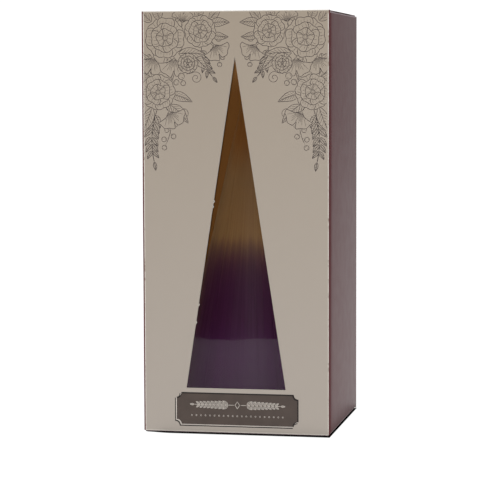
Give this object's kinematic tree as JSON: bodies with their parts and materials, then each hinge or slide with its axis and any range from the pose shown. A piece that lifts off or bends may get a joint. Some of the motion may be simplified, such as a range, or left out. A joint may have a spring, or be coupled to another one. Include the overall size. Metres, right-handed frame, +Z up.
{
  "type": "boxed havdalah candle",
  "caption": "Tall cone candle of joined wax strands with a wick in each, standing in a tuck-end folding carton with a triangular film window.",
  "frame": {"origin": "middle of the carton's base, on the surface it stands on", "axes": "+Z up, the window faces -Y, +X to the right of someone looking at the window"},
  "size_m": [0.09, 0.09, 0.2],
  "materials": {
    "beige_board": "satin printed board",
    "plum_board": "satin printed board",
    "plain_board": "uncoated board",
    "clear_film": "clear gloss film",
    "ombre_wax": "wax, gold above and purple below",
    "wick_cotton": "waxed cotton braid"
  },
  "bodies": {
    "carton": {"front_panel": "beige_board", "back_panel": "beige_board", "left_panel": "plum_board", "right_panel": "plum_board", "glue_flap": "plain_board", "window_film": "clear_film"},
    "top_lid": {"top_lid": "plum_board"},
    "top_tuck_flap": {"top_tuck_flap": "plum_board"},
    "top_left_dust_flap": {"top_left_dust_flap": "plain_board"},
    "top_right_dust_flap": {"top_right_dust_flap": "plain_board"},
    "bottom_lid": {"bottom_lid": "plum_board"},
    "bottom_tuck_flap": {"bottom_tuck_flap": "plum_board"},
    "bottom_left_dust_flap": {"bottom_left_dust_flap": "plain_board"},
    "bottom_right_dust_flap": {"bottom_right_dust_flap": "plain_board"},
    "candle": {"wax_strand_front": "ombre_wax", "wax_strand_front_right": "ombre_wax", "wax_strand_back_right": "ombre_wax", "wax_strand_back": "ombre_wax", "wax_strand_back_left": "ombre_wax", "wax_strand_front_left": "ombre_wax", "wick_front": "wick_cotton", "wick_front_right": "wick_cotton", "wick_back_right": "wick_cotton", "wick_back": "wick_cotton", "wick_back_left": "wick_cotton", "wick_front_left": "wick_cotton"}
  },
  "joints": [
    {"name": "top_lid_fold", "type": "hinge", "parent": "carton", "child": "top_lid", "pos_m": [0, 0.045, 0.2], "axis": [-1, 0, 0], "range_deg": [0, 180]},
    {"name": "top_tuck_fold", "type": "hinge", "parent": "top_lid", "child": "top_tuck_flap", "pos_m": [0, -0.0439, 0.2], "axis": [-1, 0, 0], "range_deg": [0, 45]},
    {"name": "top_left_dust_fold", "type": "hinge", "parent": "carton", "child": "top_left_dust_flap", "pos_m": [-0.045, 0, 0.1993], "axis": [0, -1, 0], "range_deg": [0, 90]},
    {"name": "top_right_dust_fold", "type": "hinge", "parent": "carton", "child": "top_right_dust_flap", "pos_m": [0.045, 0, 0.1993], "axis": [0, 1, 0], "range_deg": [0, 90]},
    {"name": "bottom_lid_fold", "type": "hinge", "parent": "carton", "child": "bottom_lid", "pos_m": [0, -0.045, 0], "axis": [-1, 0, 0], "range_deg": [0, 180]},
    {"name": "bottom_tuck_fold", "type": "hinge", "parent": "bottom_lid", "child": "bottom_tuck_flap", "pos_m": [0, 0.0439, 0], "axis": [-1, 0, 0], "range_deg": [0, 45]},
    {"name": "bottom_left_dust_fold", "type": "hinge", "parent": "carton", "child": "bottom_left_dust_flap", "pos_m": [-0.045, 0, 0.0007], "axis": [0, 1, 0], "range_deg": [0, 90]},
    {"name": "bottom_right_dust_fold", "type": "hinge", "parent": "carton", "child": "bottom_right_dust_flap", "pos_m": [0.045, 0, 0.0007], "axis": [0, -1, 0], "range_deg": [0, 90]},
    {"name": "candle_lift", "type": "slide", "parent": "carton", "child": "candle", "axis": [0, 0, 1], "range_m": [0, 0.02]}
  ],
  "couplings": [
    {"joint": "top_tuck_fold", "follows": "top_lid_fold", "ratio": 0.25},
    {"joint": "top_left_dust_fold", "follows": "top_lid_fold", "ratio": 0.5},
    {"joint": "top_right_dust_fold", "follows": "top_lid_fold", "ratio": 0.5},
    {"joint": "bottom_tuck_fold", "follows": "bottom_lid_fold", "ratio": 0.25},
    {"joint": "bottom_left_dust_fold", "follows": "bottom_lid_fold", "ratio": 0.5},
    {"joint": "bottom_right_dust_fold", "follows": "bottom_lid_fold", "ratio": 0.5}
  ]
}
